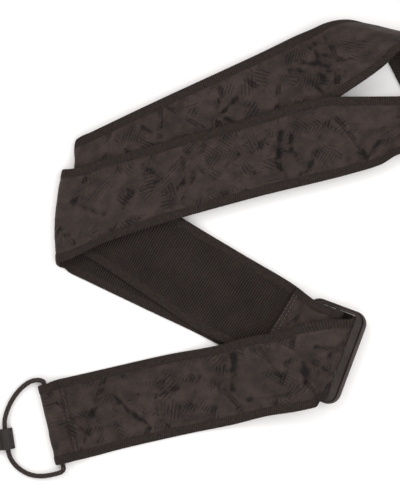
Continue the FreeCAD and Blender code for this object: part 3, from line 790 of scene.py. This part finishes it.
def hem_line(inward, z):
    line = np.array(hem_pair(inward, z))
    foot, top = line[:3], line[3:]
    return foot + (top - foot) * 0.04, foot + (top - foot) * 0.96


hem_rows = []
for row, inward in enumerate((12.2, 14.9)):
    hem_rows += sewn_row(*hem_line(inward, 2.7 + HALF_T + 0.28), 2.5, 40 + row)
hem_threads = finish_piece(stitch_mesh("hem_threads", hem_rows, 0.42), "thread", "strap", "hem_stitches")
hem_threads.data.materials[0] = DARK_THREAD

end_lines = LINES[SPANS["sewn_end"][0]], LINES[SPANS["sewn_end"][0] + 1]
end_rows = []
for row, share in enumerate((0.05, 0.22)):
    line = end_lines[0] + (end_lines[1] - end_lines[0]) * share
    lift = np.array([0, 0, HALF_T + 0.35])
    foot, top = line[:3] + lift, line[3:] + lift
    end_rows += sewn_row(foot + (top - foot) * 0.08, foot + (top - foot) * 0.92, 2.4, 50 + row)
finish_piece(stitch_mesh("sewn_end_threads", end_rows), "thread", "strap", "sewn_end_stitches")

# ---- the slider: one moulding with a flat inner band, a groove and a rounded rim ----
FRAME_W, FRAME_L, SIDE_BAR, END_WALL = 39.0, 60.7, 7.6, 2.8
SLOT_COVER = 0.3                              # how far the bars reach into the slots past the part's own
FRAME_OFFSET, FRAME_TILT, FRAME_MID_Z = (0.5, 0.6), math.radians(9.3), 4.3
BAR_R, BAR_SINK = 1.3, 0.4                    # the centre bar, and how far it goes into the end walls
TUBE_SIDES = 24
CORNER_R, SLOT_CORNER_R = 8.0, 1.5
# Share of the bar's width from the slot outward, and height
FRAME_SECTION = [(0.0, -1.25), (0.0, 1.05), (0.015, 1.22), (0.05, 1.3), (0.30, 1.3), (0.60, 1.3),
                 (0.625, 1.25), (0.64, 0.7), (0.70, 0.7), (0.715, 1.2), (0.75, 1.34), (0.84, 1.3),
                 (0.91, 1.05), (0.96, 0.65), (0.99, 0.1), (1.0, -0.4), (0.985, -0.9), (0.94, -1.2),
                 (0.86, -1.3), (0.1, -1.3)]
# Where the painted shade of the groove and the painted highlight of the rim fall, in shares of the bar's width.
GROOVE_MIDDLE, GROOVE_WIDTH, RIM_START = 0.67, 0.05, 0.74


def rounded_outline(width, length, radius, steps=10, straight=24):
    """Points round a centred rounded rectangle, the same count on every side whatever its size."""
    points = []
    centres = [(1, 1), (-1, 1), (-1, -1), (1, -1)]
    for k, (sx, sy) in enumerate(centres):
        centre = np.array([sx * (width / 2 - radius), sy * (length / 2 - radius)])
        for i in range(steps + 1):
            turn = math.pi / 2 * (k + i / steps)
            points.append(centre + radius * np.array([math.cos(turn), math.sin(turn)]))
        nx, ny = centres[(k + 1) % 4]
        after = np.array([nx * (width / 2 - radius), ny * (length / 2 - radius)])
        turn = math.pi / 2 * (k + 1)
        after = after + radius * np.array([math.cos(turn), math.sin(turn)])
        for i in range(1, straight):
            points.append(points[-1] + (after - points[-1]) / (straight - i + 1))
    return np.array(points)


def in_layout(u, v, z):
    """Points given across and along the slider, in the layout."""
    u, v, z = np.broadcast_arrays(u, v, z)
    return np.stack([*at_slider(u, v), z], -1)


def tilted(points):
    """From the frame's own axes, which lean on the strap under it, to the layout."""
    x, y, z = points[..., 0], points[..., 1], points[..., 2]
    u = x * math.cos(FRAME_TILT) - z * math.sin(FRAME_TILT)
    return in_layout(u, y, x * math.sin(FRAME_TILT) + z * math.cos(FRAME_TILT) + FRAME_MID_Z)


def make_slider():
    outer = rounded_outline(FRAME_W, FRAME_L, CORNER_R)
    inner = rounded_outline(FRAME_W - 2 * (SIDE_BAR + SLOT_COVER), FRAME_L - 2 * END_WALL, SLOT_CORNER_R)
    section = np.array(FRAME_SECTION + FRAME_SECTION[:1])
    flat = inner[:, None] + (outer - inner)[:, None] * section[None, :, :1] + np.array(FRAME_OFFSET)
    height = np.repeat(section[None, :, 1], len(flat), 0)
    ring_points = tilted(np.concatenate([flat, height[..., None]], -1))
    ring_points = np.concatenate([ring_points, ring_points[:1]], 0)
    uv = ring_points[..., :2] * MM
    # Painted shade in the groove and a painted highlight on the rim, kept on the points for the colour.
    groove = np.exp(-((section[:, 0] - GROOVE_MIDDLE) / GROOVE_WIDTH) ** 2) * (section[:, 1] > 0)
    rim = np.clip((section[:, 0] - RIM_START) / 0.04, 0, 1) * (section[:, 1] > -0.5)
    shade = np.repeat((groove - 0.55 * rim)[None], len(ring_points), 0)
    body = grid_mesh("slider_moulding", ring_points, uv, flip=True, extra=shade)
    turn = np.linspace(0, 2 * math.pi, TUBE_SIDES + 1)[None]
    reach = FRAME_L / 2 - END_WALL + BAR_SINK
    ends = np.linspace(-reach, reach, 40)[:, None] + FRAME_OFFSET[1]
    rod = in_layout(BAR_R * np.cos(turn), ends, BAR_R * np.sin(turn) + BAR_Z)
    bar = grid_mesh("slider_bar", rod, rod[..., :2] * MM)
    return body, bar


slider_body, slider_bar = make_slider()
finish_piece(slider_body, "slider", "slider", "slider_frame")
finish_piece(slider_bar, "slider", "slider")

# ---- the cord loop ----
CORD_D = 3.2
HEM_AXIS_Z = HALF_T + HEM_R
CORD_TAB_Z = 3.25
CORD_STEP = 0.00028
STRANDS, BRAID_PITCH = 4, 3.4                 # strands each way round, and their repeat in millimetres
STRAND_H, STRAND_TOP = 0.6, CORD_D / 2 - 0.04


def cord_points():
    """The part's own route for the loop, from inside the hem's top to inside its foot."""
    top, foot = [np.array([c[0] + HEM_AXIS_IN * HEM_IN[0], c[1] + HEM_AXIS_IN * HEM_IN[1], HEM_AXIS_Z])
                 for c in (HEM_TOP, HEM_FOOT)]
    axis = unit(top - foot)
    route = [top - axis * 5.0, top - axis * 1.0, top + axis * 3.5]
    route += [(-104.6, -81.3, 2.3), (-109.9, -84.6, 1.8), (-114.5, -89.2, 1.8), (-118.4, -95.2, 1.9),
              (-121.0, -101.6, 2.6), (-122.5, -108.6, CORD_TAB_Z), (-119.6, -127.6, CORD_TAB_Z),
              (-116.6, -133.2, 2.6), (-111.8, -137.7, 1.9), (-105.8, -140.7, 1.8), (-99.2, -141.5, 1.8),
              (-92.8, -140.6, 2.2)]
    route += [foot - axis * 5.0, foot, foot + axis * 5.0]
    return [(np.array(p) + SHIFT) * MM for p in route]


def cord_centreline(points):
    curve = bpy.data.curves.new("cord_line", "CURVE")
    curve.dimensions = "3D"
    curve.resolution_u = 24
    spline = curve.splines.new("NURBS")
    spline.points.add(len(points) - 1)
    for control, point in zip(spline.points, points):
        control.co = (*point, 1)
    spline.order_u = 3
    spline.use_endpoint_u = True
    holder = bpy.data.objects.new("cord_line", curve)
    bpy.context.collection.objects.link(holder)
    bpy.context.view_layer.update()
    mesh = bpy.data.meshes.new_from_object(holder.evaluated_get(bpy.context.evaluated_depsgraph_get()))
    line = np.array([v.co[:] for v in mesh.vertices])
    bpy.data.objects.remove(holder)
    bpy.data.meshes.remove(mesh)
    return line


def make_cord():
    """A braided tube: two crossing sets of strands stand out of it."""
    line = cord_centreline(cord_points())
    gaps = np.concatenate([[0], np.cumsum(np.linalg.norm(np.diff(line, axis=0), axis=1))])
    length = gaps[-1]
    s = np.arange(0, length, CORD_STEP)
    centre = np.stack([np.interp(s, gaps, line[:, k]) for k in range(3)], 1)
    travel = unit(np.gradient(centre, axis=0))
    side = unit(np.cross(travel, [0, 0, 1.0]))
    up = unit(np.cross(side, travel))
    turn = np.linspace(0, 2 * math.pi, TUBE_SIDES + 1)
    advance = 2 * math.pi * s[:, None] / MM / BRAID_PITCH
    left = np.sin(STRANDS * turn[None] + advance)
    right = np.sin(STRANDS * turn[None] - advance)
    relief = np.maximum(np.abs(left) * (right > 0), np.abs(right) * (right <= 0))
    radius = (STRAND_TOP - STRAND_H + STRAND_H * relief) * MM
    points = centre[:, None] + radius[..., None] * (side[:, None] * np.cos(turn)[None, :, None]
                                                    + up[:, None] * np.sin(turn)[None, :, None])
    round_way = turn[None] * CORD_D / 2 * MM
    uv = np.stack([np.repeat(s[:, None], len(turn), 1), np.repeat(round_way, len(s), 0)], -1)
    # The strands' height also goes on the points, for painted shade between the strands.
    tube = grid_mesh("cord_braid", points / MM - SHIFT, uv, extra=relief)
    return tube, line, length


cord, cord_line, cord_length = make_cord()
finish_piece(cord, "cord", "cord", "cord_loop")

# ---- CAD pieces that stay get the same finishes ----
for node, holder in frame["nodes"].items():
    row = next(r for r in frame["record"]["subparts"] if r["node"] == node)
    holder.data.materials.clear()
    holder.data.materials.append(LOOKS[row["material_slot"]])
